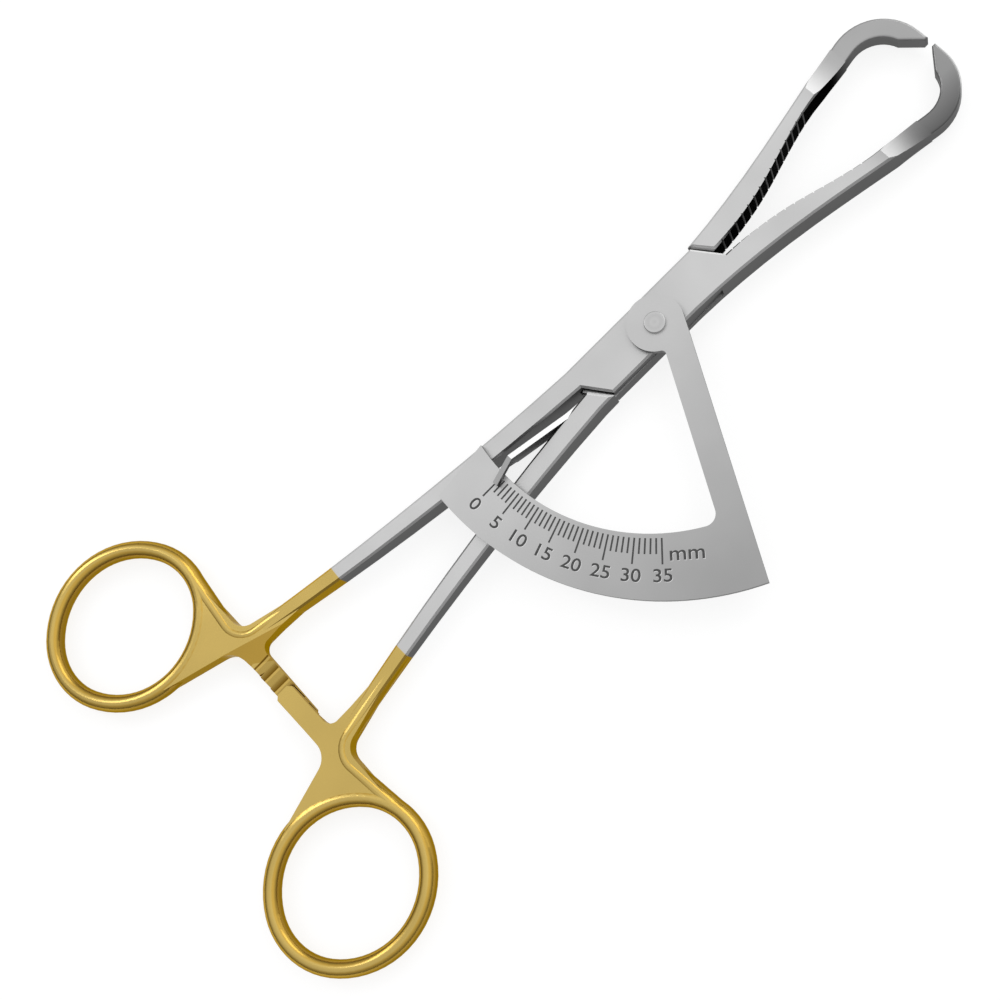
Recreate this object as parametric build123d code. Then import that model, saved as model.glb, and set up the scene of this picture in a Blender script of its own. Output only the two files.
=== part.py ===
from build123d import *
from math import asin, atan2, cos, degrees, hypot, radians, sin
import os

# A ring-handled bone mapping caliper, lying on its back.
# X runs to the right, Y runs to the jaw tips and Z runs up to the scale side.
# The origin is on the pivot axis, at the back face of the box lock.
# The female arm, the scale and the pin stand still. The male arm and the pointer turn.

# Overall reach of the arms, in millimetres
tip_reach = 43.5            # pivot to the points of the closed jaws
tip_opening = 1.0           # gap between the points at rest, which the scale reads
closed_gap = 0.08           # gap left between the points of the closed jaws
pivot_offset = 0.75         # the pivot sits this far right of the middle of the lock

# Box lock: the male tongue passes through a slot between two cheeks
lock_width = 5.6
lock_thickness = 4.0
cheek_thickness = 1.2
lock_clearance = 0.05       # between the tongue and each cheek
face_relief = 0.15          # the male arm is this much lower than the cheeks, on each side
shoulder_angle = 35.0       # slant of the shoulders where the male arm leaves the cheeks
shoulder_reach = 8.7        # middle of the lock to each shoulder
web_angle = 38.0            # slant of the webs that join the two cheeks
web_reach = 7.2             # middle of the lock to each web
shoulder_chamfer = 0.4      # front and back edges of the male arm's shoulders
shoulder_gap = 0.15         # play at the shoulders and webs of the closed lock

# Jaws: slender bars that end in hooks
hook_offset = 1.5           # middle line to the centre of the hook's arc
hook_radius = 6.0           # outer edge of the hook
hook_width = 2.3
hook_thickness = 2.3
hook_lead = 10.0            # angle of the outer edge where the hook starts
jaw_belly = (4.3, 20.0)     # outer edge half way along the jaw
jaw_throat = (1.95, 20.0)   # inner edge half way along the jaw
jaw_neck = (4.45, 30.0)     # inner edge where the hook begins to turn
beak_angle = 77.0           # where the inner edge of the hook turns to the point
beak_height = 0.5           # blunt end of the point
scoop_start = 30.7          # where the full thickness scoops down to the hook
scoop_length = 5.2
hook_edge_radius = 0.3

# Serrations across the inner faces of the jaws
serration_pitch = 1.2
serration_depth = 0.22
serration_width = 0.5
serration_count = 15
serration_start = 0.9       # crotch of the jaws to the first groove

# Shanks: tapered bars that bow outwards to the rings
shank_start = 11.0
shank_end = 56.0
shank_spread = 5.7          # how far the shank moves out over its length
shank_bow = 0.5             # share of the spread that is curved
shank_width_start = 2.5
shank_width_end = 1.65
shank_stations = 10
edge_chamfer = 0.25         # long edges of lock, jaws and shanks
handle_thickness = 2.2      # shank end, yoke and racks together
weld_flat_end = 33.0        # the female shank stays flush with the lock down to here

# Rings: oval, of round wire, tilted outwards
ring_centre = (19.5, -68.05)
ring_hole_width = 15.5
ring_hole_length = 17.4
ring_wire_width = 2.1
ring_wire_thickness = 2.5
ring_tilt = 6.0
yoke_start = 50.0           # the web begins here, down from the pivot
yoke_throat = (5.75, -54.5)  # inner edge of the web, above the rack
yoke_corner = (8.8, -58.1)  # where the outer edges of shank and ring would meet
yoke_flank = (7.7, -60.2)   # where the edges of rack and ring would meet
flank_root = (10.2, -69.4)   # where the edge of the web runs out along the ring
yoke_fillet = 2.0           # between shank and ring
flank_fillet = 2.4          # between ring and rack
rack_fillet = 1.2           # between shank and rack
rim_start = 46.0            # the wire has tapered out on the shank here, down from the pivot
rim_width = 1.5
rim_rise = 0.12             # above the face of the yoke
rim_inset = 0.04            # the rim ends this far inside the wire of the ring

# Ratchet: two toothed racks that pass over each other
rack_top = -57.8
rack_bottom = -60.15
female_rack_tip = 4.4       # past the middle line
male_rack_tip = 1.4
rack_root = 5.75            # where the rack leaves the yoke, from the middle line
rack_shoulder = 3.6         # where the slope of the yoke ends on the rack
tooth_pitch = 1.8
tooth_start = 5.3           # first tooth, from the middle line
tooth_height = 0.45
rack_clearance = 0.1        # between the crests of the two racks
lead_crease = ((5.75, -53.9), (7.9, -60.9))     # the yoke slopes down to the rack from here
lead_run_out = 4.0          # how far the cut of the sloped lead goes on past its crease
lead_slope = 27.0

# Scale plate
plate_thickness = 0.8
boss_radius = 3.3
scale_inner_radius = 23.7
scale_outer_radius = 30.8
scale_corner_radius = 31.7  # outer edge at the far corner
plate_arm_angle = 62.8      # direction of the straight arm, from -Y towards +X
plate_arm_width = 3.15
window_fillet = 1.4
scale_zero_angle = 0.4      # direction of the zero mark, from -Y towards +X
boss_fillet = 0.5
scale_length = 35
mark_start = 0.5            # inner edge of the scale to the marks
short_mark = 1.75
long_mark = 2.9
mark_width = 0.2
mark_depth = 0.1

# Pivot pin
pin_diameter = 2.0
pin_fit = 0.02              # radial, in the cheeks and the plate
pin_running_fit = 0.05      # radial, in the tongue
pin_head_diameter = 2.5
pin_head_height = 0.35
pin_head_edge = 0.12

# Pointer: a thin bar on edge, brazed to the male shank
pointer_thickness = 0.6
pointer_root = (0.75, -12.6)    # from the middle line and the pivot
pointer_bend = (-0.3, 1.8)  # from the middle line, and short of the inner edge of the scale
pointer_overlap = 1.5       # length of the pointer over the scale
pointer_gap = 0.12          # under the pointer, above the plate
pointer_end_height = 0.75
pointer_height = 2.3        # of the bar between root and bend
pointer_root_top = 3.4
pointer_lift = 1.0          # where the bar starts to clear the plate, short of its inner edge

# Worked out from the values above
half_lock = lock_width / 2
middle_height = lock_thickness / 2
slot_thickness = lock_thickness - 2 * cheek_thickness
tongue_thickness = slot_thickness - 2 * lock_clearance
male_thickness = lock_thickness - 2 * face_relief
rest_angle = degrees(2 * asin(tip_opening / 2 / tip_reach))
plate_top = lock_thickness + plate_thickness
far = 60.0                  # longer than any cut needs


def opening_angle(reading):
    """Angle between the arms when the points are this far apart."""
    return degrees(2 * asin(reading / 2 / tip_reach))


def line_crossing(angle_a, reach_a, angle_b, reach_b):
    """Where two lines meet, each given by the angle of its normal and its distance."""
    ax, ay = cos(radians(angle_a)), sin(radians(angle_a))
    bx, by = cos(radians(angle_b)), sin(radians(angle_b))
    share = ax * by - ay * bx
    return ((reach_a * by - ay * reach_b) / share, (ax * reach_b - reach_a * bx) / share)


shoulder_normal = 90 + shoulder_angle
crotch = line_crossing(shoulder_normal, shoulder_reach, web_angle, web_reach)
hook_centre = (hook_offset, tip_reach + beak_height / 2 - hook_radius)


def nearest_vertex(outline, point):
    """The corner of the outline that lies nearest to this point."""
    return outline.vertices().sort_by_distance(point)[0]


def lock_band(normal, reach, bottom, top):
    """A slab through the lock, between two parallel lines at this distance from its middle."""
    slab = Box(2 * reach, far, top - bottom, align=(Align.CENTER, Align.CENTER, Align.MIN))
    return Pos(0, 0, bottom) * Rot(0, 0, normal) * slab


def shoulder_room(reach):
    """Room for the cheeks, cut from the male arm, with a chamfer at the edges of its shoulders."""
    back, front = face_relief, lock_thickness - face_relief
    wide = reach + shoulder_chamfer
    side = [(wide, 0), (wide, back), (reach, back + shoulder_chamfer), (reach, front - shoulder_chamfer),
            (wide, front), (wide, lock_thickness)]
    profile = side + [(-x, z) for x, z in reversed(side)]
    room = extrude(Plane.XZ * Polygon(*profile, align=None), far / 2, both=True)
    return Rot(0, 0, shoulder_normal) * room


def lock_block(thickness):
    """The straight bar of the lock, centred in the thickness."""
    return Pos(0, 0, middle_height) * Box(lock_width, 4 * shoulder_reach, thickness)


def jaw_inner_edge():
    """Inner edge of the right-hand jaw, from the crotch to where the hook turns."""
    lead = radians(hook_lead)
    cx, cy = hook_centre
    inner_radius = hook_radius - hook_width
    start = (cx + inner_radius * cos(lead), cy - inner_radius * sin(lead))
    return Spline(crotch, jaw_throat, jaw_neck, start, tangents=[(0.06, 1), (sin(lead), cos(lead))])


def jaw_outline():
    """Plan of the right-hand jaw, from inside the lock to its point."""
    cx, cy = hook_centre
    inner_radius = hook_radius - hook_width
    lead = radians(hook_lead)
    beak = radians(beak_angle)
    root = shoulder_reach / 2
    outer_start = (half_lock, root)
    arc_start = (cx + hook_radius * cos(lead), cy - hook_radius * sin(lead))
    beak_corner = (cx + inner_radius * cos(beak), cy + inner_radius * sin(beak))
    point_x = closed_gap / 2

    outer = Spline(outer_start, jaw_belly, arc_start, tangents=[(0.02, 1), (sin(lead), cos(lead))])
    outer_hook = CenterArc(hook_centre, hook_radius, -hook_lead, 90 + hook_lead)
    end = Polyline((cx, cy + hook_radius), (point_x, cy + hook_radius),
                   (point_x, cy + hook_radius - beak_height), beak_corner)
    inner_hook = CenterArc(hook_centre, inner_radius, -hook_lead, beak_angle + hook_lead)
    back = Polyline(crotch, (crotch[0], root), outer_start)
    return make_face(Curve() + [outer, outer_hook, end, inner_hook, jaw_inner_edge(), back])


def serrations():
    """Grooves across the inner face of the right-hand jaw."""
    edge = jaw_inner_edge()
    half = serration_width / 2
    groove = Polygon((-half, half), (half, half), (0, -serration_depth), align=None)
    groove = extrude(groove, lock_thickness, dir=(0, 0, 1))
    cuts = []
    for number in range(serration_count):
        share = (serration_start + number * serration_pitch) / edge.length
        place = edge @ share
        along = edge % share
        turn = degrees(atan2(along.Y, along.X))
        cuts.append(Pos(place.X, place.Y, 0) * Rot(0, 0, turn) * groove)
    return cuts


def jaw(thickness):
    """Right-hand jaw: a full bar with serrations that scoops down to a thin hook."""
    outline = jaw_outline()
    scoop_depth = (thickness - hook_thickness) / 2
    scoop_end = scoop_start + scoop_length
    bar = extrude(outline, thickness)
    bar = chamfer(bar.edges().group_by(Axis.Z)[0] + bar.edges().group_by(Axis.Z)[-1], edge_chamfer)
    bar = bar & Box(far, scoop_end, thickness, align=(Align.CENTER, Align.MIN, Align.MIN))
    for cut in serrations():
        bar = bar - cut
    scoop_radius = (scoop_length**2 + scoop_depth**2) / (2 * scoop_depth)
    scoop = Rot(0, 90, 0) * Cylinder(scoop_radius, far)
    bar = bar - Pos(0, scoop_end, thickness - scoop_depth + scoop_radius) * scoop
    bar = bar - Pos(0, scoop_end, scoop_depth - scoop_radius) * scoop

    hook = extrude(outline, hook_thickness)
    hook = fillet(hook.edges().group_by(Axis.Z)[0] + hook.edges().group_by(Axis.Z)[-1],
                  hook_edge_radius)
    hook = hook & Pos(0, scoop_start, 0) * Box(far, far, far, align=(Align.CENTER, Align.MIN, Align.MIN))
    bottom = middle_height - thickness / 2
    return Pos(0, 0, bottom) * (bar + Pos(0, 0, scoop_depth) * hook)


def shank_edges(y):
    """Inner and outer edge of the shank at this distance down from the pivot."""
    share = max(0, (y - shank_start) / (shank_end - shank_start))
    bowed = (1 - shank_bow) * share + shank_bow * share**2
    middle = half_lock - shank_width_start / 2 + shank_spread * bowed
    half_width = (shank_width_start + (shank_width_end - shank_width_start) * share) / 2
    return middle - half_width, middle + half_width


def shank_section(y, back, front):
    """Section of the right-hand shank: a rectangle with its four corners chamfered."""
    inner, outer = shank_edges(y)
    c = edge_chamfer
    corners = [(inner + c, back), (outer - c, back), (outer, back + c), (outer, front - c),
               (outer - c, front), (inner + c, front), (inner, front - c), (inner, back + c)]
    return Face(Wire.make_polygon([(x, -y, z) for x, z in corners]))


def shank(relief, flat_end):
    """Right-hand shank, tapered by a loft. Its front stays level down to flat_end."""
    back_end = middle_height - handle_thickness / 2
    front_end = middle_height + handle_thickness / 2
    root_front = lock_thickness - relief
    sections = [shank_section(shoulder_reach - lock_width / 2, relief, root_front)]
    for number in range(shank_stations):
        share = number / (shank_stations - 1)
        y = shank_start + share * (shank_end - shank_start)
        back = relief + (back_end - relief) * share
        front_share = max(0, (y - flat_end) / (shank_end - flat_end))
        front = root_front + (front_end - root_front) * front_share
        sections.append(shank_section(y, back, front))
    return loft(sections, ruled=True)


def oval(length, width):
    """Four tangent arcs that make an oval, longer along Y."""
    a, b = length / 2, width / 2
    end_radius = 0.88 * b
    shift = ((a - end_radius)**2 - (b - end_radius)**2) / (2 * (b - end_radius))
    side_radius = b + shift
    joint = degrees(atan2(shift, a - end_radius))
    top, bottom = (0, a - end_radius), (0, end_radius - a)
    return Wire([
        CenterArc(top, end_radius, 90 - joint, 2 * joint).edge(),
        CenterArc((shift, 0), side_radius, 90 + joint, 180 - 2 * joint).edge(),
        CenterArc(bottom, end_radius, 270 - joint, 2 * joint).edge(),
        CenterArc((-shift, 0), side_radius, joint - 90, 180 - 2 * joint).edge(),
    ])


def ring_place():
    return Pos(ring_centre[0], ring_centre[1], middle_height) * Rot(0, 0, ring_tilt)


def ring():
    """Right-hand finger ring: an oval of round wire."""
    path = oval(ring_hole_length + ring_wire_width, ring_hole_width + ring_wire_width)
    start = path @ 0
    section = Plane(origin=start, z_dir=path % 0) * Ellipse(ring_wire_width / 2, ring_wire_thickness / 2)
    return ring_place() * sweep(section, path)


def rim():
    """The ring's wire runs on along the outer edge of the yoke and tapers out on the shank."""
    wire_centre = (ring_hole_length + ring_wire_width) / 2
    slope = radians(ring_tilt)
    top = (ring_centre[0] - wire_centre * sin(slope), ring_centre[1] + wire_centre * cos(slope))
    corner_x = yoke_corner[0] - rim_width / 2
    corner = (corner_x, top[1] - (top[0] - corner_x) * sin(slope) / cos(slope))
    start = (shank_edges(rim_start)[1] - rim_width / 2, -rim_start)
    path = FilletPolyline(start, corner, top, radius=yoke_fillet + rim_width / 2)
    thin = Plane(origin=path @ 0, z_dir=path % 0) * Ellipse(rim_width / 2, handle_thickness / 2 + rim_rise)
    full = Ellipse(ring_wire_width / 2 - rim_inset, ring_wire_thickness / 2 - rim_inset)
    full = Plane(origin=path @ 1, z_dir=path % 1) * full
    return Pos(0, 0, middle_height) * sweep([thin, full], path, multisection=True)


def yoke():
    """Right-hand yoke: the flat web that joins shank, ring and rack."""
    inner, outer = shank_edges(yoke_start)
    wire_top = ring_centre[1] + (ring_hole_length + ring_wire_width) / 2
    rack_corner = (rack_root, rack_top)
    corners = [(inner + edge_chamfer, -yoke_start), (outer - edge_chamfer, -yoke_start), yoke_corner,
               (ring_centre[0] - ring_wire_width, wire_top), ring_centre, flank_root,
               yoke_flank, (rack_shoulder, rack_bottom), (rack_shoulder, rack_top), rack_corner, yoke_throat]
    outline = Polygon(*corners, align=None)
    for corner, radius in ((yoke_corner, yoke_fillet), (yoke_flank, flank_fillet), (rack_corner, rack_fillet)):
        outline = fillet([nearest_vertex(outline, corner)], radius)
    hole = make_face(oval(ring_hole_length + ring_wire_width, ring_hole_width + ring_wire_width))
    outline = outline - Pos(*ring_centre) * Rot(0, 0, ring_tilt) * hole
    return Pos(0, 0, middle_height - handle_thickness / 2) * extrude(outline, handle_thickness, dir=(0, 0, 1))


def rack(tip):
    """Toothed rack of the right-hand arm, in its back half, with the teeth on its front."""
    back = middle_height - handle_thickness / 2
    crest = middle_height - rack_clearance / 2
    valley = crest - tooth_height
    profile = [(rack_root, back), (rack_root, valley)]
    count = int((tooth_start + tip) / tooth_pitch)
    for number in range(count):
        start = tooth_start - number * tooth_pitch
        profile += [(start, valley), (start - tooth_height / 4, crest)]
    profile += [(-tip, valley), (-tip, back)]
    bar = extrude(Plane.XZ * Polygon(*profile, align=None), rack_top - rack_bottom, dir=(0, -1, 0))
    bar = Pos(0, rack_top, 0) * bar
    tip_edges = bar.edges().filter_by(Axis.Z).group_by(Axis.X)[0]
    return chamfer(tip_edges, tooth_height)


def rack_lead():
    """Cut above the slope that runs from the front of the yoke down to the rack."""
    (ax, ay), (bx, by) = lead_crease
    crease = Vector(bx - ax, by - ay).normalized()
    to_middle = Vector(crease.Y, -crease.X)
    if to_middle.X > 0:
        to_middle = to_middle * -1
    slope = radians(lead_slope)
    normal = to_middle * sin(slope) + Vector(0, 0, cos(slope))
    front = middle_height + handle_thickness / 2
    plane = Plane(origin=(bx, by, front), x_dir=crease, z_dir=normal)
    length = hypot(bx - ax, by - ay)
    cut = Box(length + lead_run_out, 2 * lead_run_out, handle_thickness, align=(Align.MIN, Align.CENTER, Align.MIN))
    return plane * Pos(-length - lead_run_out * 3 / 4, 0, 0) * cut


def handle(tip):
    """Right-hand handle: yoke, ring and rack, with the rack in the back half."""
    web = yoke() + ring() + rim()
    return web - rack_lead() + rack(tip)


def in_place(shape):
    """From the middle of the lock to the pivot."""
    return Pos(-pivot_offset, 0, 0) * shape


def make_female_arm():
    """One forging: left ring and rack, left shank, both cheeks of the lock, right jaw."""
    cheeks = lock_block(lock_thickness) & lock_band(shoulder_normal, shoulder_reach, 0, lock_thickness)
    cheeks = chamfer(cheeks.edges().group_by(Axis.Z)[0] + cheeks.edges().group_by(Axis.Z)[-1],
                     edge_chamfer)
    arm = cheeks + jaw(lock_thickness) + mirror(shank(0, weld_flat_end), about=Plane.YZ)
    arm = arm - lock_band(web_angle, web_reach, cheek_thickness, lock_thickness - cheek_thickness)
    arm = arm + mirror(handle(female_rack_tip), about=Plane.YZ)
    arm = in_place(arm)
    return arm - Cylinder(pin_diameter / 2 + pin_fit, far)


def make_male_arm():
    """One forging: right ring and rack, right shank, the tongue of the lock, left jaw."""
    arm = mirror(jaw(male_thickness), about=Plane.YZ) + shank(face_relief, shank_start)
    end = shoulder_reach + shoulder_gap
    arm = arm - shoulder_room(end)
    tongue = lock_block(tongue_thickness) & lock_band(web_angle, web_reach - shoulder_gap, 0, lock_thickness)
    tongue = tongue & lock_band(shoulder_normal, end, 0, lock_thickness)
    arm = arm + tongue
    arm = arm + mirror(handle(male_rack_tip), about=Plane.XY.offset(middle_height))
    arm = in_place(arm)
    return arm - Cylinder(pin_diameter / 2 + pin_running_fit, far)


def make_pivot_pin():
    """Rivet: its shank passes through cheeks and tongue, its low head holds the plate."""
    shaft = Cylinder(pin_diameter / 2, plate_top, align=(Align.CENTER, Align.CENTER, Align.MIN))
    head = Cylinder(pin_head_diameter / 2, pin_head_height, align=(Align.CENTER, Align.CENTER, Align.MIN))
    head = fillet(head.edges().group_by(Axis.Z)[-1], pin_head_edge)
    return shaft + Pos(0, 0, plate_top) * head


def polar(radius, angle):
    """A point at this distance from the pivot. The angle runs from -Y towards +X."""
    return radius * sin(radians(angle)), -radius * cos(radians(angle))


def make_plate_outline():
    """Plan of the scale plate: boss, straight arm and arc band around an open window."""
    corner = plate_arm_angle + degrees(asin(boss_radius / scale_corner_radius))
    outer = ThreePointArc(polar(scale_outer_radius, 0), polar(scale_outer_radius, corner / 2),
                          polar(scale_corner_radius, corner))
    outer_disc = Pos(outer.arc_center.X, outer.arc_center.Y) * Circle(outer.radius)
    arm_place = Rot(0, 0, plate_arm_angle - 90)
    below_arm = arm_place * Pos(0, boss_radius - far / 2) * Rectangle(2 * far, far)
    end_top = -shank_edges(scale_inner_radius)[1] + edge_chamfer - pivot_offset
    end_bottom = -shank_edges(scale_outer_radius)[1] + edge_chamfer - pivot_offset
    end_slope = degrees(atan2(end_bottom - end_top, scale_outer_radius - scale_inner_radius))
    beside_end = Pos(end_top, -scale_inner_radius) * Rot(0, 0, -end_slope) * Pos(far / 2, 0)
    beside_end = beside_end * Rectangle(far, 2 * far)
    band = (outer_disc - Circle(scale_inner_radius)) & below_arm & beside_end

    arm_bottom = boss_radius - plate_arm_width
    arm = Pos(far / 2, boss_radius - plate_arm_width / 2) * Rectangle(far, plate_arm_width)
    arm = (arm_place * arm) & outer_disc
    outline = band + arm + Circle(boss_radius)
    window_corner = arm_place * Pos((scale_inner_radius**2 - arm_bottom**2) ** 0.5, arm_bottom)
    boss_corner = arm_place * Pos((boss_radius**2 - arm_bottom**2) ** 0.5, arm_bottom)
    outline = fillet([nearest_vertex(outline, window_corner.position)], window_fillet)
    outline = fillet([nearest_vertex(outline, boss_corner.position)], boss_fillet)
    return outline


def make_scale_plate():
    """Sheet steel plate, welded to the female shank, with the millimetre marks cut in."""
    plate = Pos(0, 0, lock_thickness) * extrude(make_plate_outline(), plate_thickness, dir=(0, 0, 1))
    plate = plate - Cylinder(pin_diameter / 2 + pin_fit, far)
    for reading in range(scale_length + 1):
        length = long_mark if reading % 5 == 0 else short_mark
        middle = scale_inner_radius + mark_start + length / 2
        x, y = polar(middle, scale_zero_angle + opening_angle(reading))
        turn = Rot(0, 0, scale_zero_angle + opening_angle(reading))
        plate = plate - Pos(x, y, plate_top) * turn * Box(mark_width, length, 2 * mark_depth)
    return plate


def make_pointer(male_arm):
    """Thin bar on edge, from the male shank over the inner edge of the scale."""
    root = (pointer_root[0] - pivot_offset, pointer_root[1])
    bend = (pointer_bend[0] - pivot_offset, pointer_bend[1] - scale_inner_radius)
    edge_x, tip_y = polar(scale_inner_radius + pointer_overlap, scale_zero_angle)
    tip = (edge_x - pointer_thickness / 2, tip_y)
    plan = trace(Polyline(root, bend, tip), line_width=pointer_thickness)
    under_end = plate_top + pointer_gap
    over_end = under_end + pointer_end_height
    lift_y = -scale_inner_radius + pointer_lift
    rise = (over_end - pointer_root_top) / (root[1] - bend[1])
    low_y = lift_y + pointer_lift
    low_z = pointer_root_top + rise * (root[1] - low_y) - pointer_height
    side = [(root[1], pointer_root_top), (bend[1], over_end), (tip_y, over_end), (tip_y, under_end),
            (lift_y, under_end), (low_y, low_z), (root[1], pointer_root_top - pointer_height)]
    profile = Plane.YZ * Polygon(*side, align=None)
    bar = extrude(plan, far, dir=(0, 0, 1)) & extrude(profile, far / 2, both=True)
    return bar - male_arm


def main():
    closed_male_arm = make_male_arm()
    opened = Rot(0, 0, rest_angle)
    nodes = {
        "female_arm": make_female_arm(),
        "male_arm": opened * closed_male_arm,
        "pivot_pin": make_pivot_pin(),
        "scale_plate": make_scale_plate(),
        "pointer": opened * make_pointer(closed_male_arm),
    }
    os.makedirs("parts", exist_ok=True)
    for name, shape in nodes.items():
        export_step(shape, f"parts/{name}.step")
        print(name, len(shape.solids()), round(shape.volume, 2))
    print("rest angle", round(rest_angle, 3), "range", round(-rest_angle, 3), "to",
          round(opening_angle(scale_length) - rest_angle, 3))


main()
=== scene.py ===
import math

import bpy
from mathutils import Matrix, Vector


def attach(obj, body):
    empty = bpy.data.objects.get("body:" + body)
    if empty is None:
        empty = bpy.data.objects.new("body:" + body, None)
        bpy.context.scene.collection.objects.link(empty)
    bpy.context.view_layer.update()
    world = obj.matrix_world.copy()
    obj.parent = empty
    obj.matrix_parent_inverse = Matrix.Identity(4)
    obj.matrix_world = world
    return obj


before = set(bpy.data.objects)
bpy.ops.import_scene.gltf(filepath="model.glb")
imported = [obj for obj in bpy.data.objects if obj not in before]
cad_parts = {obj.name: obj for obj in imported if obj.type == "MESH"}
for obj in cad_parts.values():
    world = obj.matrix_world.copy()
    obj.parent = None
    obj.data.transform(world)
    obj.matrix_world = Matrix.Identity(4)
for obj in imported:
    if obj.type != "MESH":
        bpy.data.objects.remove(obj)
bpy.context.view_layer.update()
MM = 0.001


# The two arms of the caliper.
# Each is one drop forging of stainless surgical steel, ground, then satin finished with fine glass beads.
# The shank ends, racks and rings are polished, then dipped and gold plated up to a sharp line.

def linear(code):
    """A colour written as an sRGB hex value, as the linear values that a shader takes."""
    parts = [int(code[place:place + 2], 16) / 255 for place in (1, 3, 5)]
    parts = [part / 12.92 if part <= 0.04045 else ((part + 0.055) / 1.055) ** 2.4 for part in parts]
    return (*parts, 1.0)


def add(tree, kind, inputs=None, **settings):
    """One node with its settings. An input takes a value, or a socket that it is linked to."""
    made = tree.nodes.new(kind)
    for name, value in settings.items():
        setattr(made, name, value)
    for name, value in (inputs or {}).items():
        if isinstance(value, bpy.types.NodeSocket):
            tree.links.new(value, made.inputs[name])
        else:
            made.inputs[name].default_value = value
    return made


def new_material(name):
    """A material with its Principled shader and nothing else."""
    material = bpy.data.materials.new(name)
    material.use_nodes = True
    shader = material.node_tree.nodes["Principled BSDF"]
    return material, material.node_tree, shader


bead_mark = 0.2 * MM            # about 0.05 mm on the steel itself, which is too fine for the picture
bead_depth = 0.02 * MM
cloud_width = 9 * MM            # slow changes of shade that grinding leaves in the fronts
steel_front = "#C6C6C6"
# Painted shade and highlight on the steel walls, by the way that they face:
steel_side_shade = "#6A6A6A"
steel_end_highlight = "#B8B8B8"           # walls that face the jaws, painted bright as a highlight
steel_inside_shade = "#1E1E1E"        # walls of the lock and shanks that face the rings, painted near black as shade
# the serrated inner walls of the jaws, painted near black as shade
steel_serrated_shade = "#161616"
gold_level = "#CCB064"
# Painted shade on the gold where it leans and on its walls.
gold_leaning_shade = "#C4A048"
gold_wall_shade = "#8A6A1E"
# Painted shade in the roots of the teeth and painted highlight on their crests.
gold_root_shade = "#7A5A18"
gold_crest_highlight = "#D0B060"
# Painted highlight on the slanted shoulder edges.
shoulder_edge_highlight = "#FCFCFC"
glance_wall_shade = "#BCBCBC"         # reflection tint of the walls, dimmed as painted shade; the inside and serrated tints too
glance_inside_shade = "#9A9A9A"
glance_gold = "#EDDAAA"
glance_serrated_shade = "#8C8C8C"
plating_edge = 0.06 * MM        # half the width in which the gold ends
lock_ends = 5 * MM              # above the pivot
jaw_begins = 7 * MM


def duller_hooks(tree, apart, hook_shade_levels):
    """Painted shade on the fronts: 1 on the jaws, then one value at the points and one at the outer bend."""
    point_side = 2.5 * MM
    bend_side = 7 * MM
    hook_begins = 27.5 * MM
    hook_is_full = 36 * MM
    outwards = add(tree, "ShaderNodeMath", {0: apart.outputs["X"]}, operation="ABSOLUTE")
    bend = add(tree, "ShaderNodeMapRange", {"Value": outwards.outputs[0], "From Min": point_side,
                                           "From Max": bend_side, "To Min": hook_shade_levels[0],
                                           "To Max": hook_shade_levels[1]})
    hook = add(tree, "ShaderNodeMapRange", {"Value": apart.outputs["Y"], "From Min": hook_begins,
                                           "From Max": hook_is_full}, interpolation_type="SMOOTHSTEP")
    return add(tree, "ShaderNodeMix", {"Factor": hook.outputs[0], "A": 1.0, "B": bend.outputs[0]},
               data_type="FLOAT")


def serrated_walls(tree, apart, facing, jaw):
    """1 on the inner walls of the jaws, which face the middle line, and 0 elsewhere and past the neck."""
    neck_begins = 33 * MM
    neck_ends = 37 * MM
    half = add(tree, "ShaderNodeMath", {0: apart.outputs["X"]}, operation="SIGN")
    away = add(tree, "ShaderNodeMath", {0: half.outputs[0], 1: facing.outputs["X"]}, operation="MULTIPLY")
    inner = add(tree, "ShaderNodeMapRange", {"Value": away.outputs[0], "From Min": -0.75, "From Max": -0.93})
    neck = add(tree, "ShaderNodeMapRange", {"Value": apart.outputs["Y"], "From Min": neck_begins,
                                           "From Max": neck_ends, "To Min": 1.0, "To Max": 0.0})
    serrated = add(tree, "ShaderNodeMath", {0: inner.outputs[0], 1: jaw.outputs[0]}, operation="MULTIPLY")
    return add(tree, "ShaderNodeMath", {0: serrated.outputs[0], 1: neck.outputs[0]}, operation="MULTIPLY")


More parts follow.
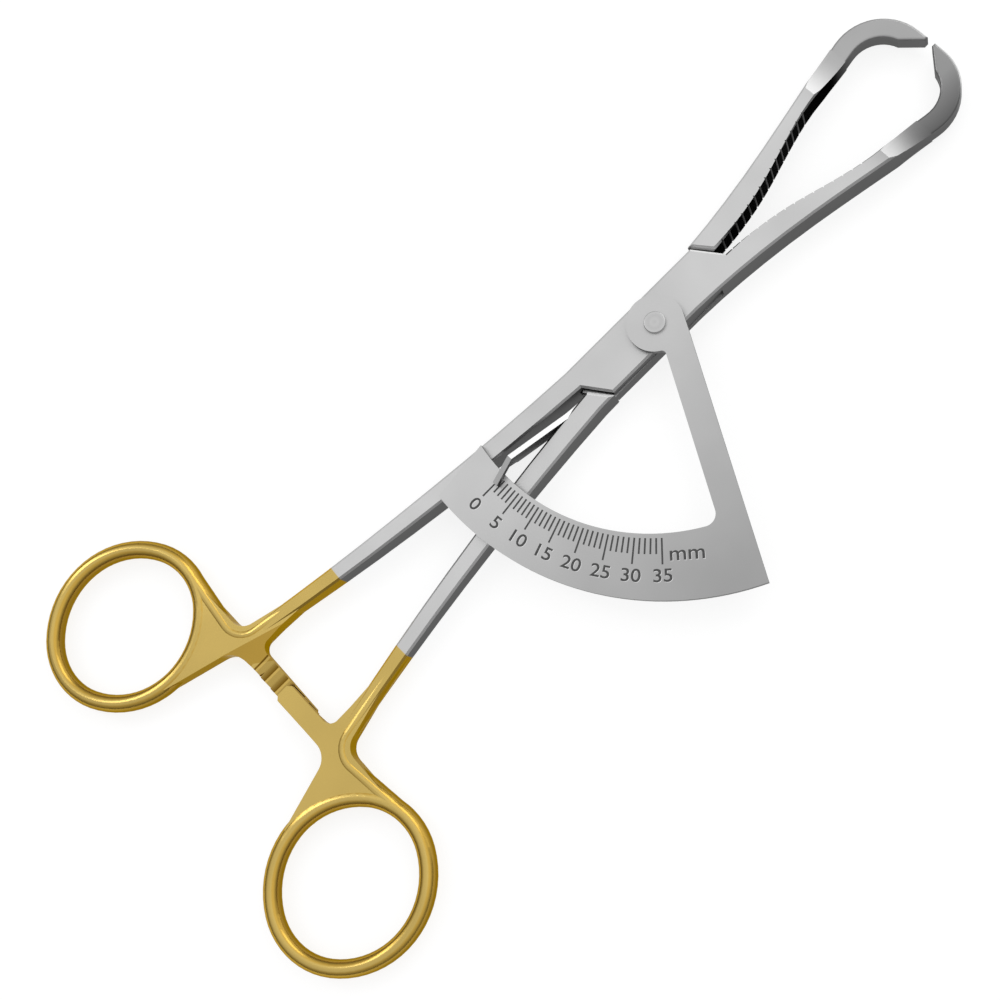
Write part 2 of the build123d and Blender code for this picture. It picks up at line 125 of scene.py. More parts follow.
def worn_teeth(tree, apart, facing, ring_side, gold):
    """The gold with a painted highlight on the crests and painted shade in the roots of the teeth.

    They are on the front of the left rack and on the back of the right one.
    """
    first_tooth = 5.3 * MM          # from the middle line
    tooth_pitch = 1.8 * MM
    rack_middle = -58.97 * MM
    rack_half_width = 1.3 * MM
    teeth_middle = 2.2 * MM
    teeth_half_length = 3.3 * MM
    crest_share = 0.14
    reach = add(tree, "ShaderNodeMath", {0: apart.outputs["X"], 1: ring_side}, operation="MULTIPLY")
    along = add(tree, "ShaderNodeMath", {0: first_tooth, 1: reach.outputs[0]}, operation="SUBTRACT")
    along = add(tree, "ShaderNodeMath", {0: along.outputs[0], 1: tooth_pitch}, operation="DIVIDE")
    along = add(tree, "ShaderNodeMath", {0: along.outputs[0]}, operation="FRACT")
    in_rack = add(tree, "ShaderNodeMath", {0: apart.outputs["Y"], 1: rack_middle, 2: rack_half_width},
                  operation="COMPARE")
    in_teeth = add(tree, "ShaderNodeMath", {0: reach.outputs[0], 1: teeth_middle, 2: teeth_half_length},
                   operation="COMPARE")
    teeth = add(tree, "ShaderNodeMath", {0: in_rack.outputs[0], 1: in_teeth.outputs[0]},
                operation="MULTIPLY")
    toothed = add(tree, "ShaderNodeMath", {0: facing.outputs["Z"], 1: ring_side}, operation="MULTIPLY")
    toothed = add(tree, "ShaderNodeMath", {0: toothed.outputs[0], 1: -0.3}, operation="LESS_THAN")
    teeth = add(tree, "ShaderNodeMath", {0: teeth.outputs[0], 1: toothed.outputs[0]}, operation="MULTIPLY")
    root = add(tree, "ShaderNodeMapRange", {"Value": along.outputs[0], "From Min": 0.45, "From Max": 0.95,
                                           "To Min": 0.3})
    root = add(tree, "ShaderNodeMath", {0: root.outputs[0], 1: teeth.outputs[0]}, operation="MULTIPLY")
    crest = add(tree, "ShaderNodeMath", {0: along.outputs[0], 1: crest_share}, operation="LESS_THAN")
    crest = add(tree, "ShaderNodeMath", {0: crest.outputs[0], 1: teeth.outputs[0]}, operation="MULTIPLY")
    gold = add(tree, "ShaderNodeMix", {"Factor": root.outputs[0], "A": gold.outputs["Result"],
                                      "B": linear(gold_root_shade)}, data_type="RGBA")
    return add(tree, "ShaderNodeMix", {"Factor": crest.outputs[0], "A": gold.outputs["Result"],
                                      "B": linear(gold_crest_highlight)}, data_type="RGBA")


def bead_blasted_steel(name, ring_side, plating_line, plating_slope, hook_shade_levels):
    """Satin stainless steel, gold plated below a line across the shank.

    Glass beads leave the fronts an even light grey. The side walls are painted dark as shade, the walls of
    the lock and shanks that face the rings and the serrated inner walls of the jaws are painted near black
    as shade, and walls that face the jaws are painted bright as a highlight. The hooks have painted shade,
    with one tone at the point and one at the outer bend.
    The plating is brighter and smoother than the steel, and it is thin, so it has no step.
    """
    material, tree, shader = new_material(name)
    place = add(tree, "ShaderNodeTexCoord")
    apart = add(tree, "ShaderNodeSeparateXYZ", {0: place.outputs["Object"]})
    facing = add(tree, "ShaderNodeSeparateXYZ", {0: place.outputs["Normal"]})
    upright = add(tree, "ShaderNodeMath", {0: facing.outputs["Z"]}, operation="ABSOLUTE")
    wall = add(tree, "ShaderNodeMapRange", {"Value": upright.outputs[0], "From Min": 0.85,
                                           "From Max": 0.25}, interpolation_type="SMOOTHSTEP")
    beads = add(tree, "ShaderNodeTexNoise", {"Vector": place.outputs["Object"], "Scale": 1 / bead_mark,
                                            "Detail": 2.0, "Roughness": 0.5})
    clouds = add(tree, "ShaderNodeTexNoise", {"Vector": place.outputs["Object"], "Scale": 1 / cloud_width,
                                             "Detail": 2.0, "Roughness": 0.5})
    shade = add(tree, "ShaderNodeMapRange", {"Value": clouds.outputs["Fac"], "From Min": 0.3,
                                            "From Max": 0.7, "To Min": 0.93, "To Max": 1.04})

    # The steel: its fronts, with painted shade on the hooks, and its walls, with painted shade and highlight
    # by the way that they face.
    shaded_hook = duller_hooks(tree, apart, hook_shade_levels)
    front = add(tree, "ShaderNodeMix", {"Factor": 1.0, "A": linear(steel_front),
                                       "B": shaded_hook.outputs[0]},
                data_type="RGBA", blend_type="MULTIPLY")
    jaw = add(tree, "ShaderNodeMapRange", {"Value": apart.outputs["Y"], "From Min": lock_ends,
                                          "From Max": jaw_begins})
    serrated = serrated_walls(tree, apart, facing, jaw)
    end = add(tree, "ShaderNodeMapRange", {"Value": facing.outputs["Y"], "From Min": 0.35,
                                          "From Max": 0.75})
    inside = add(tree, "ShaderNodeMapRange", {"Value": facing.outputs["Y"], "From Min": -0.2,
                                             "From Max": -0.6})
    not_jaw = add(tree, "ShaderNodeMath", {0: 1.0, 1: jaw.outputs[0]}, operation="SUBTRACT")
    inside = add(tree, "ShaderNodeMath", {0: inside.outputs[0], 1: not_jaw.outputs[0]},
                 operation="MULTIPLY")
    side = add(tree, "ShaderNodeMix", {"Factor": end.outputs[0], "A": linear(steel_side_shade),
                                      "B": linear(steel_end_highlight)}, data_type="RGBA")
    side = add(tree, "ShaderNodeMix", {"Factor": inside.outputs[0], "A": side.outputs["Result"],
                                      "B": linear(steel_inside_shade)}, data_type="RGBA")
    side = add(tree, "ShaderNodeMix", {"Factor": serrated.outputs[0], "A": side.outputs["Result"],
                                      "B": linear(steel_serrated_shade)}, data_type="RGBA")
    steel = add(tree, "ShaderNodeMix", {"Factor": wall.outputs[0], "A": front.outputs["Result"],
                                       "B": side.outputs["Result"]}, data_type="RGBA")

    # The gold has painted shade where it leans, and more on the walls.
    leaning = add(tree, "ShaderNodeMapRange", {"Value": upright.outputs[0], "From Min": 0.97,
                                              "From Max": 0.9})
    gold = add(tree, "ShaderNodeMix", {"Factor": leaning.outputs[0], "A": linear(gold_level),
                                      "B": linear(gold_leaning_shade)}, data_type="RGBA")
    gold = add(tree, "ShaderNodeMix", {"Factor": wall.outputs[0], "A": gold.outputs["Result"],
                                      "B": linear(gold_wall_shade)}, data_type="RGBA")
    gold = worn_teeth(tree, apart, facing, ring_side, gold)

    slant = add(tree, "ShaderNodeMath", {0: apart.outputs["X"], 1: plating_slope}, operation="MULTIPLY")
    height = add(tree, "ShaderNodeMath", {0: apart.outputs["Y"], 1: slant.outputs[0]},
                 operation="SUBTRACT")
    plated = add(tree, "ShaderNodeMapRange", {"Value": height.outputs[0],
                                             "From Min": plating_line + plating_edge,
                                             "From Max": plating_line - plating_edge})
    colour = add(tree, "ShaderNodeMix", {"Factor": plated.outputs[0], "A": steel.outputs["Result"],
                                        "B": gold.outputs["Result"]}, data_type="RGBA")
    tone = add(tree, "ShaderNodeMix", {"Factor": 1.0, "A": colour.outputs["Result"],
                                      "B": shade.outputs[0]}, data_type="RGBA", blend_type="MULTIPLY")
    rough = add(tree, "ShaderNodeMapRange", {"Value": plated.outputs[0], "To Min": 0.36, "To Max": 0.24})
    grain = add(tree, "ShaderNodeBump", {"Height": beads.outputs["Fac"], "Strength": 0.05,
                                        "Distance": bead_depth})

    # The slanted edges of the shoulders get a painted highlight: near white and mostly not metallic.
    shoulder_highlight = add(tree, "ShaderNodeMapRange", {"Value": facing.outputs["Y"], "From Min": 0.42,
                                             "From Max": 0.52, "To Max": 0.9})
    slanted = add(tree, "ShaderNodeMath", {0: upright.outputs[0], 1: 0.7, 2: 0.12}, operation="COMPARE")
    shoulder_highlight = add(tree, "ShaderNodeMath", {0: shoulder_highlight.outputs[0], 1: slanted.outputs[0]},
                 operation="MULTIPLY")
    bare = add(tree, "ShaderNodeMath", {0: 1.0, 1: plated.outputs[0]}, operation="SUBTRACT")
    shoulder_highlight = add(tree, "ShaderNodeMath", {0: shoulder_highlight.outputs[0], 1: bare.outputs[0]},
                 operation="MULTIPLY")
    tone = add(tree, "ShaderNodeMix", {"Factor": shoulder_highlight.outputs[0], "A": tone.outputs["Result"],
                                      "B": linear(shoulder_edge_highlight)}, data_type="RGBA")
    metallic = add(tree, "ShaderNodeMath", {0: 1.0, 1: shoulder_highlight.outputs[0]}, operation="SUBTRACT")

    # The walls get dimmer reflection tints as painted shade, and the plating keeps its gold.
    glance = add(tree, "ShaderNodeMix", {"Factor": wall.outputs[0], "A": linear("#FFFFFF"),
                                        "B": linear(glance_wall_shade)}, data_type="RGBA")
    glance = add(tree, "ShaderNodeMix", {"Factor": inside.outputs[0], "A": glance.outputs["Result"],
                                        "B": linear(glance_inside_shade)}, data_type="RGBA")
    glance = add(tree, "ShaderNodeMix", {"Factor": plated.outputs[0], "A": glance.outputs["Result"],
                                        "B": linear(glance_gold)}, data_type="RGBA")
    glance = add(tree, "ShaderNodeMix", {"Factor": serrated.outputs[0], "A": glance.outputs["Result"],
                                        "B": linear(glance_serrated_shade)}, data_type="RGBA")

    tree.links.new(tone.outputs["Result"], shader.inputs["Base Color"])
    tree.links.new(glance.outputs["Result"], shader.inputs["Specular Tint"])
    tree.links.new(rough.outputs[0], shader.inputs["Roughness"])
    tree.links.new(grain.outputs["Normal"], shader.inputs["Normal"])
    tree.links.new(metallic.outputs[0], shader.inputs["Metallic"])
    return material


def finish_node(name, material):
    """Gives a CAD node its finish."""
    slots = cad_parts[name].data.materials
    slots.clear()
    slots.append(material)


left_ring = -1
right_ring = 1
female_steel = bead_blasted_steel("bead_blasted_steel_left_ring", left_ring, plating_line=-45.8 * MM,
                                  plating_slope=-0.06, hook_shade_levels=(0.48, 0.17))
male_steel = bead_blasted_steel("bead_blasted_steel_right_ring", right_ring, plating_line=-46.0 * MM,
                                plating_slope=0.04, hook_shade_levels=(0.62, 0.7))
finish_node("female_arm", female_steel)
finish_node("male_arm", male_steel)


# The pivot pin.
# A turned rivet of hardened stainless steel, driven through the lock and the scale plate.
# Its low head is faced flat in the lathe, which leaves faint rings around its middle.

lathe_ring_pitch = 0.754 * MM   # really about 0.1 mm, which is finer than one pixel of the picture
lathe_cut = 0.02 * MM
faced_dark = "#BABABA"
faced_light = "#C0C0C0"


def faced_steel(name):
    """Turned and faced stainless steel. Its fine rings make the head look softly brushed."""
    material, tree, shader = new_material(name)
    place = add(tree, "ShaderNodeTexCoord")
    waves = 2 * math.pi / 20        # a wave texture of scale 1 repeats after this length
    rings = add(tree, "ShaderNodeTexWave", {"Vector": place.outputs["Object"],
                                           "Scale": waves / lathe_ring_pitch,
                                           "Distortion": 0.0, "Detail": 0.0},
                wave_type="RINGS", rings_direction="Z", wave_profile="SIN")
    cut = add(tree, "ShaderNodeBump", {"Height": rings.outputs["Fac"], "Strength": 0.06,
                                      "Distance": lathe_cut})
    tone = add(tree, "ShaderNodeMix", {"Factor": rings.outputs["Fac"], "A": linear(faced_dark),
                                      "B": linear(faced_light)}, data_type="RGBA")
    tree.links.new(tone.outputs["Result"], shader.inputs["Base Color"])
    tree.links.new(cut.outputs["Normal"], shader.inputs["Normal"])
    shader.inputs["Metallic"].default_value = 1.0
    shader.inputs["Roughness"].default_value = 0.34
    return material


finish_node("pivot_pin", faced_steel("faced_rivet_steel"))


# The scale plate.
# Cold rolled stainless sheet, 0.8 mm thick, blanked to shape and bead blasted to an even matt grey.
# It is clamped by the rivet head at its boss, and welded to the front of the left shank.

plate_width = 27 * MM
plate_cloud_width = 7 * MM
plate_lit_near = "#C2C2C2"          # lighter, over the pivot and the left shank: painted light
plate_shaded_far = "#A2A2A2"           # darker, at the end of the scale: painted shade
# the blanked edges, painted dark as shade
plate_edge_shade = "#4C4C4C"


def matt_sheet_steel(name):
    """Matt stainless sheet, with no highlight of its own. Painted shade darkens its face from left to right,
    and its blanked edges are painted dark as shade.
    """
    material, tree, shader = new_material(name)
    place = add(tree, "ShaderNodeTexCoord")
    facing = add(tree, "ShaderNodeSeparateXYZ", {0: place.outputs["Normal"]})
    upright = add(tree, "ShaderNodeMath", {0: facing.outputs["Z"]}, operation="ABSOLUTE")
    edge = add(tree, "ShaderNodeMapRange", {"Value": upright.outputs[0], "From Min": 0.85,
                                           "From Max": 0.25})
    apart = add(tree, "ShaderNodeSeparateXYZ", {0: place.outputs["Object"]})
    across = add(tree, "ShaderNodeMapRange", {"Value": apart.outputs["X"], "From Max": plate_width})
    face = add(tree, "ShaderNodeMix", {"Factor": across.outputs[0], "A": linear(plate_lit_near),
                                      "B": linear(plate_shaded_far)}, data_type="RGBA")
    colour = add(tree, "ShaderNodeMix", {"Factor": edge.outputs[0], "A": face.outputs["Result"],
                                        "B": linear(plate_edge_shade)}, data_type="RGBA")
    beads = add(tree, "ShaderNodeTexNoise", {"Vector": place.outputs["Object"], "Scale": 1 / bead_mark,
                                            "Detail": 2.0, "Roughness": 0.5})
    clouds = add(tree, "ShaderNodeTexNoise", {"Vector": place.outputs["Object"],
                                             "Scale": 1 / plate_cloud_width,
                                             "Detail": 2.0, "Roughness": 0.5})
    shade = add(tree, "ShaderNodeMapRange", {"Value": clouds.outputs["Fac"], "From Min": 0.3,
                                            "From Max": 0.7, "To Min": 0.96, "To Max": 1.03})
    tone = add(tree, "ShaderNodeMix", {"Factor": 1.0, "A": colour.outputs["Result"],
                                      "B": shade.outputs[0]}, data_type="RGBA", blend_type="MULTIPLY")
    grain = add(tree, "ShaderNodeBump", {"Height": beads.outputs["Fac"], "Strength": 0.06,
                                        "Distance": bead_depth})
    tree.links.new(tone.outputs["Result"], shader.inputs["Base Color"])
    tree.links.new(grain.outputs["Normal"], shader.inputs["Normal"])
    shader.inputs["Metallic"].default_value = 1.0
    shader.inputs["Roughness"].default_value = 0.42
    return material


finish_node("scale_plate", matt_sheet_steel("bead_blasted_sheet_steel"))


# The millimetre marks of the scale.
# They are etched 0.1 mm deep, and the etched steel is left dark grey, so that it reads against the plate.
# One mark stands at each whole millimetre of jaw opening, so they lie a little closer near the end.

pit_size = 0.3 * MM             # really some hundredths of a millimetre, drawn as coarse as it needs to show
etched_dark = "#343434"
etched_light = "#565656"


def etched_dark_steel(name):
    """The rough floor of an etched line, which is dark and dull because its fine pits hold the light."""
    material, tree, shader = new_material(name)
    place = add(tree, "ShaderNodeTexCoord")
    pits = add(tree, "ShaderNodeTexNoise", {"Vector": place.outputs["Object"], "Scale": 1 / pit_size,
                                           "Detail": 1.0})
    tone = add(tree, "ShaderNodeMix", {"Factor": pits.outputs["Fac"], "A": linear(etched_dark),
                                      "B": linear(etched_light)}, data_type="RGBA")
    tree.links.new(tone.outputs["Result"], shader.inputs["Base Color"])
    shader.inputs["Metallic"].default_value = 0.3
    shader.inputs["Roughness"].default_value = 0.6
    return material


etched = etched_dark_steel("etched_dark_steel")
plate_face = 4.8 * MM
points_reach = 43.5             # pivot to the measuring points, in millimetres
zero_direction = math.radians(0.4)
mark_count = 36                 # one for each millimetre from 0 to 35
long_mark_step = 5
mark_inner_radius = 24.2 * MM
short_mark = 1.75 * MM
long_mark = 2.9 * MM
mark_width = 0.2 * MM
fill_thickness = 0.08 * MM      # the dark bar in each mark, from its floor to just under the face
fill_middle = plate_face - 0.06 * MM


def scale_marks_tree():
    """Geometry Nodes: one bar in each etched mark, turned by the jaw opening that it stands for."""
    tree = bpy.data.node_groups.new("scale_marks", "GeometryNodeTree")
    tree.interface.new_socket("Geometry", in_out="OUTPUT", socket_type="NodeSocketGeometry")
    for title, value in (("Marks", mark_count), ("Long mark step", long_mark_step),
                         ("Reach", points_reach), ("Inner radius", mark_inner_radius),
                         ("Short mark", short_mark), ("Long mark", long_mark),
                         ("Mark width", mark_width), ("Fill thickness", fill_thickness),
                         ("Height", fill_middle)):
        socket = tree.interface.new_socket(title, in_out="INPUT", socket_type="NodeSocketFloat")
        socket.default_value = value
    given = add(tree, "NodeGroupInput")
    line = add(tree, "GeometryNodeMeshLine", {"Count": given.outputs["Marks"]})
    number = add(tree, "GeometryNodeInputIndex")
    half = add(tree, "ShaderNodeMath", {0: number.outputs[0], 1: 2.0}, operation="DIVIDE")
    share = add(tree, "ShaderNodeMath", {0: half.outputs[0], 1: given.outputs["Reach"]},
                operation="DIVIDE")
    half_angle = add(tree, "ShaderNodeMath", {0: share.outputs[0]}, operation="ARCSINE")
    angle = add(tree, "ShaderNodeMath", {0: half_angle.outputs[0], 1: 2.0, 2: zero_direction},
                operation="MULTIPLY_ADD")
    rest = add(tree, "ShaderNodeMath", {0: number.outputs[0], 1: given.outputs["Long mark step"]},
               operation="MODULO")
    is_short = add(tree, "ShaderNodeMath", {0: rest.outputs[0], 1: 0.5}, operation="GREATER_THAN")
    length = add(tree, "ShaderNodeMix", {"Factor": is_short.outputs[0], "A": given.outputs["Long mark"],
                                        "B": given.outputs["Short mark"]}, data_type="FLOAT")
    middle = add(tree, "ShaderNodeMath", {0: length.outputs[0], 1: 0.5, 2: given.outputs["Inner radius"]},
                 operation="MULTIPLY_ADD")
    sine = add(tree, "ShaderNodeMath", {0: angle.outputs[0]}, operation="SINE")
    cosine = add(tree, "ShaderNodeMath", {0: angle.outputs[0]}, operation="COSINE")
    x = add(tree, "ShaderNodeMath", {0: sine.outputs[0], 1: middle.outputs[0]}, operation="MULTIPLY")
    down = add(tree, "ShaderNodeMath", {0: cosine.outputs[0], 1: middle.outputs[0]}, operation="MULTIPLY")
    y = add(tree, "ShaderNodeMath", {0: down.outputs[0], 1: -1.0}, operation="MULTIPLY")
    spot = add(tree, "ShaderNodeCombineXYZ", {"X": x.outputs[0], "Y": y.outputs[0],
                                             "Z": given.outputs["Height"]})
    placed = add(tree, "GeometryNodeSetPosition", {"Geometry": line.outputs[0],
                                                  "Position": spot.outputs[0]})
    bar = add(tree, "GeometryNodeMeshCube", {"Size": (1.0, 1.0, 1.0)})
    turn = add(tree, "ShaderNodeCombineXYZ", {"Z": angle.outputs[0]})
    size = add(tree, "ShaderNodeCombineXYZ", {"X": given.outputs["Mark width"], "Y": length.outputs[0],
                                             "Z": given.outputs["Fill thickness"]})
    bars = add(tree, "GeometryNodeInstanceOnPoints", {"Points": placed.outputs[0],
                                                     "Instance": bar.outputs[0],
                                                     "Rotation": turn.outputs[0],
                                                     "Scale": size.outputs[0]})
    solid = add(tree, "GeometryNodeRealizeInstances", {0: bars.outputs[0]})
    painted = add(tree, "GeometryNodeSetMaterial", {"Geometry": solid.outputs[0], "Material": etched})
    add(tree, "NodeGroupOutput", {0: painted.outputs[0]})
    return tree


def plain_mesh(maker, name):
    """The finished mesh of an object with modifiers, as a new object without them."""
    bpy.context.view_layer.update()
    ready = maker.evaluated_get(bpy.context.evaluated_depsgraph_get())
    mesh = bpy.data.meshes.new_from_object(ready)
    mesh.name = name
    made = bpy.data.objects.new(name, mesh)
    bpy.context.scene.collection.objects.link(made)
    bpy.data.objects.remove(maker)
    return made


marks_maker = bpy.data.objects.new("scale_marks_maker", bpy.data.meshes.new("scale_marks_maker"))
bpy.context.scene.collection.objects.link(marks_maker)
marks_maker.modifiers.new("marks", "NODES").node_group = scale_marks_tree()
scale_marks = plain_mesh(marks_maker, "scale_marks")
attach(scale_marks, "still_arm")


# The figures of the scale.
# Plain figures at every fifth mark and the sign for millimetres, etched with the marks.
# Their tops point to the pivot, and a bright copy of them, set a little aside and lower, is a painted
# highlight on the wall of each that faces the light.

figure_size = 2.05 * MM
figure_spread = 1.14            # the figures are this much wider than the font draws them
figure_radius = 28.3 * MM
figure_boldness = 0.022 * MM
figure_thickness = 0.02 * MM    # half of the thin sheet of each figure
figure_sink = 0.012 * MM        # the middle of that sheet under the face of the plate
unit_size = 1.13 * figure_size
unit_radius = 26.3 * MM
unit_direction = math.radians(53.8)
unit_turn = math.radians(49)
lit_wall = 0.07 * MM            # the light wall shows this far beside the dark figure


def etched_text(words, size, radius, direction, turn, shift):
    """Words as a thin mesh in the face of the plate, centred here, then moved sideways and a little down."""
    curve = bpy.data.curves.new("figure", "FONT")
    curve.body = words
    curve.size = size
    curve.align_x = "CENTER"
    curve.align_y = "CENTER"
    curve.extrude = figure_thickness
    curve.offset = figure_boldness
    curve.resolution_u = 6
    holder = bpy.data.objects.new("figure", curve)
    bpy.context.scene.collection.objects.link(holder)
    bpy.context.view_layer.update()
    ready = holder.evaluated_get(bpy.context.evaluated_depsgraph_get())
    mesh = bpy.data.meshes.new_from_object(ready)
    bpy.data.objects.remove(holder)
    xs = [vertex.co.x for vertex in mesh.vertices]
    ys = [vertex.co.y for vertex in mesh.vertices]
    centre = Vector(((min(xs) + max(xs)) / 2, (min(ys) + max(ys)) / 2, 0))
    spot = Vector((radius * math.sin(direction) + shift, -radius * math.cos(direction),
                   plate_face - figure_sink - shift * 0.1))
    mesh.transform(Matrix.Translation(spot) @ Matrix.Rotation(turn, 4, "Z")
                   @ Matrix.Diagonal((figure_spread, 1, 1, 1)) @ Matrix.Translation(-centre))
    return mesh


def figure_set(name, material, shift):
    """All figures and the unit in one piece of this material, moved sideways by this much."""
    meshes = []
    for reading in range(0, mark_count, long_mark_step):
        direction = zero_direction + 2 * math.asin(reading / 2 / points_reach)
        meshes.append(etched_text(str(reading), figure_size, figure_radius, direction, direction, shift))
    meshes.append(etched_text("mm", unit_size, unit_radius, unit_direction, unit_turn, shift))
    corners = []
    faces = []
    for mesh in meshes:
        first = len(corners)
        corners += [tuple(vertex.co) for vertex in mesh.vertices]
        faces += [[first + corner for corner in polygon.vertices] for polygon in mesh.polygons]
    joined = bpy.data.meshes.new(name)
    joined.from_pydata(corners, [], faces)
    joined.materials.append(material)
    made = bpy.data.objects.new(name, joined)
    bpy.context.scene.collection.objects.link(made)
    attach(made, "still_arm")


figure_set("scale_figures", etched, 0.0)

# A painted highlight: a bright steel copy of the figures, a little aside and under them.
figure_highlight_steel, tree, shader = new_material("painted_figure_highlight")
shader.inputs["Base Color"].default_value = linear("#E2E2E2")
shader.inputs["Metallic"].default_value = 1.0
shader.inputs["Roughness"].default_value = 0.4
figure_set("scale_figures_lit_walls", figure_highlight_steel, lit_wall)


# The pointer.
# A thin strip of stainless steel on edge, brazed to the inner side of the right shank.
# Its top has a painted highlight where it slopes and its sides painted shade, so its edge reads sharply over
# the marks.

scratch_width = 0.1 * MM
scratch_length = 3 * MM
# Painted highlight on the top where it slopes, in fine lines, and painted shade on the sides.
pointer_highlight_dark = "#E4E4E4"
pointer_highlight_light = "#F6F6F6"
strip_level = "#A2A2A2"         # the flat end over the marks
strip_side_shade = "#4A4A4A"


def ground_strip_steel(name):
    """Strip steel: a painted highlight in fine lines on its sloping top, plain grey on its flat end, painted
    shade on its sides.
    """
    material, tree, shader = new_material(name)
    place = add(tree, "ShaderNodeTexCoord")
    facing = add(tree, "ShaderNodeSeparateXYZ", {0: place.outputs["Normal"]})
    top = add(tree, "ShaderNodeMapRange", {"Value": facing.outputs["Z"], "From Min": 0.3,
                                          "From Max": 0.9})
    slope = add(tree, "ShaderNodeMapRange", {"Value": facing.outputs["Y"], "From Min": 0.03,
                                            "From Max": 0.1})
    scratches = add(tree, "ShaderNodeMapping", {"Vector": place.outputs["Object"],
                                               "Scale": (1 / scratch_width, 1 / scratch_length,
                                                         1 / scratch_width)})
    lines = add(tree, "ShaderNodeTexNoise", {"Vector": scratches.outputs[0], "Scale": 1.0,
                                            "Detail": 2.0})
    bright = add(tree, "ShaderNodeMix", {"Factor": lines.outputs["Fac"], "A": linear(pointer_highlight_dark),
                                        "B": linear(pointer_highlight_light)}, data_type="RGBA")
    level = add(tree, "ShaderNodeMix", {"Factor": slope.outputs[0], "A": linear(strip_level),
                                       "B": bright.outputs["Result"]}, data_type="RGBA")
    colour = add(tree, "ShaderNodeMix", {"Factor": top.outputs[0], "A": linear(strip_side_shade),
                                        "B": level.outputs["Result"]}, data_type="RGBA")
    tree.links.new(colour.outputs["Result"], shader.inputs["Base Color"])
    shader.inputs["Metallic"].default_value = 1.0
    shader.inputs["Roughness"].default_value = 0.3
    return material


finish_node("pointer", ground_strip_steel("ground_strip_steel"))


# The floor under the caliper.
# A plain white sheet that carries on past the edges of the picture.
# It shows white to the camera and in the metal, and keeps a faint shadow.

floor_reach = 3.0               # from the middle to each side, in metres
floor_height = -0.02 * MM
floor_mesh = bpy.data.meshes.new("floor")
floor_mesh.from_pydata([(-floor_reach, -floor_reach, 0), (floor_reach, -floor_reach, 0),
                        (floor_reach, floor_reach, 0), (-floor_reach, floor_reach, 0)], [], [(0, 1, 2, 3)])
floor_mesh.transform(Matrix.Translation((0, 0, floor_height)))
floor = bpy.data.objects.new("floor", floor_mesh)
bpy.context.scene.collection.objects.link(floor)
paper, tree, shader = new_material("white_paper")
path = add(tree, "ShaderNodeLightPath")
seen = add(tree, "ShaderNodeMath", {0: path.outputs["Is Camera Ray"], 1: path.outputs["Is Glossy Ray"]},
           operation="MAXIMUM")
seen = add(tree, "ShaderNodeMath", {0: seen.outputs[0], 1: path.outputs["Is Transmission Ray"]},
           operation="MAXIMUM")
tint = add(tree, "ShaderNodeMix", {"Factor": seen.outputs[0], "A": linear("#E6E6E6"),
                                  "B": linear("#8C8C8C")}, data_type="RGBA")
glow = add(tree, "ShaderNodeMath", {0: seen.outputs[0], 1: 0.8}, operation="MULTIPLY")
tree.links.new(tint.outputs["Result"], shader.inputs["Base Color"])
tree.links.new(glow.outputs[0], shader.inputs["Emission Strength"])
shader.inputs["Emission Color"].default_value = (1, 1, 1, 1)
shader.inputs["Roughness"].default_value = 1.0
shader.inputs["Specular IOR Level"].default_value = 0.0
floor_mesh.materials.append(paper)


# Light: a white room that is brightest overhead and in a low window beyond the jaws, and two soft lamps.
# One stands beyond the jaws, so the edges that face it shine, and one beside the left ring.
# The camera's own rays see white all round.

overhead = 1.05
low_walls = 0.08
window_light = 1.25
world = bpy.data.worlds.new("white_room")
bpy.context.scene.world = world
world.use_nodes = True
room = world.node_tree
room.nodes.clear()
path = add(room, "ShaderNodeLightPath")
around = add(room, "ShaderNodeTexCoord")
apart = add(room, "ShaderNodeSeparateXYZ", {0: around.outputs["Generated"]})
level = add(room, "ShaderNodeMapRange", {"Value": apart.outputs["Z"], "From Min": 0.0, "From Max": 0.75,
                                        "To Min": low_walls, "To Max": overhead})
beyond = add(room, "ShaderNodeMapRange", {"Value": apart.outputs["Y"], "From Min": -0.7, "From Max": 0.7,
                                         "To Min": 0.7, "To Max": 1.15})
level = add(room, "ShaderNodeMath", {0: level.outputs[0], 1: beyond.outputs[0]}, operation="MULTIPLY")
window = add(room, "ShaderNodeMapRange", {"Value": apart.outputs["Y"], "From Min": 0.78, "From Max": 0.92,
                                         "To Min": 0.0, "To Max": window_light})
level = add(room, "ShaderNodeMath", {0: level.outputs[0], 1: window.outputs[0]}, operation="MAXIMUM")
strength = add(room, "ShaderNodeMix", {"Factor": path.outputs["Is Camera Ray"], "A": level.outputs[0],
                                      "B": 1.0}, data_type="FLOAT")
backdrop = add(room, "ShaderNodeBackground", {"Color": (1, 1, 1, 1), "Strength": strength.outputs[0]})
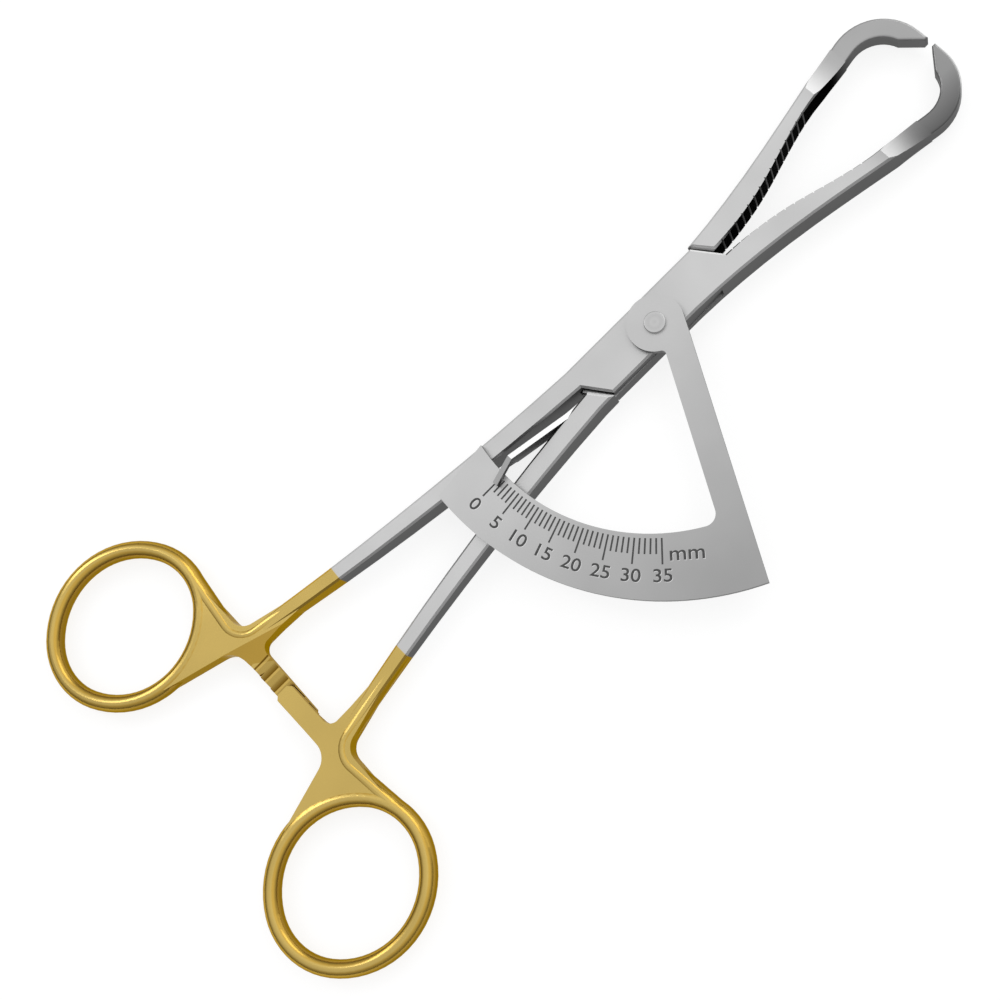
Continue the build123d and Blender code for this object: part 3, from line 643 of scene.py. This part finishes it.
add(room, "ShaderNodeOutputWorld", {"Surface": backdrop.outputs[0]})


def soft_lamp(name, place, towards, width, height, brightness):
    """A rectangular lamp of this brightness that faces a point. Its places and sizes are in metres."""
    lamp = bpy.data.lights.new(name, "AREA")
    lamp.shape = "RECTANGLE"
    lamp.size = width
    lamp.size_y = height
    lamp.energy = brightness * math.pi * width * height
    holder = bpy.data.objects.new(name, lamp)
    bpy.context.scene.collection.objects.link(holder)
    aim = (Vector(towards) - Vector(place)).to_track_quat("-Z", "Y")
    holder.matrix_world = Matrix.Translation(place) @ aim.to_matrix().to_4x4()


soft_lamp("lamp_beyond_jaws", place=(-0.2, 0.6, 0.55), towards=(0, 0, 0),
          width=0.45, height=0.3, brightness=1.7)
soft_lamp("lamp_beside_rings", place=(-0.55, -0.2, 0.5), towards=(0, -0.04, 0),
          width=0.12, height=0.5, brightness=3.0)


# The camera.
# It looks down on the middle of the caliper, leaning 18 degrees towards the scale side.
# The caliper lies across the picture from lower left to upper right.

look_at = Vector((2.06 * MM, -26.01 * MM, 5.2 * MM))
lean = math.radians(18)
lean_direction = math.radians(9.47)
distance = 200 * MM
up_angle = math.radians(-44.80)
picture_scale = 0.1110 * MM         # at the middle, for each of the picture's 1000 pixels

backwards = Vector((math.sin(lean) * math.cos(lean_direction), math.sin(lean) * math.sin(lean_direction),
                    math.cos(lean)))
jaws = Vector((0, 1, 0))
jaws = (jaws - backwards * jaws.dot(backwards)).normalized()
beside = (-backwards).cross(jaws)
right = jaws * math.cos(up_angle) - beside * math.sin(up_angle)
down = (-backwards).cross(right)
camera_data = bpy.data.cameras.new("camera")
camera_data.sensor_width = 36.0
camera_data.lens = 36.0 * distance / picture_scale / 1000
camera_data.clip_start = 0.01
camera = bpy.data.objects.new("camera", camera_data)
bpy.context.scene.collection.objects.link(camera)
turned = Matrix((right, -down, backwards)).transposed().to_4x4()
camera.matrix_world = Matrix.Translation(look_at + backwards * distance) @ turned
bpy.context.scene.camera = camera

bpy.context.scene.view_settings.view_transform = "Standard"
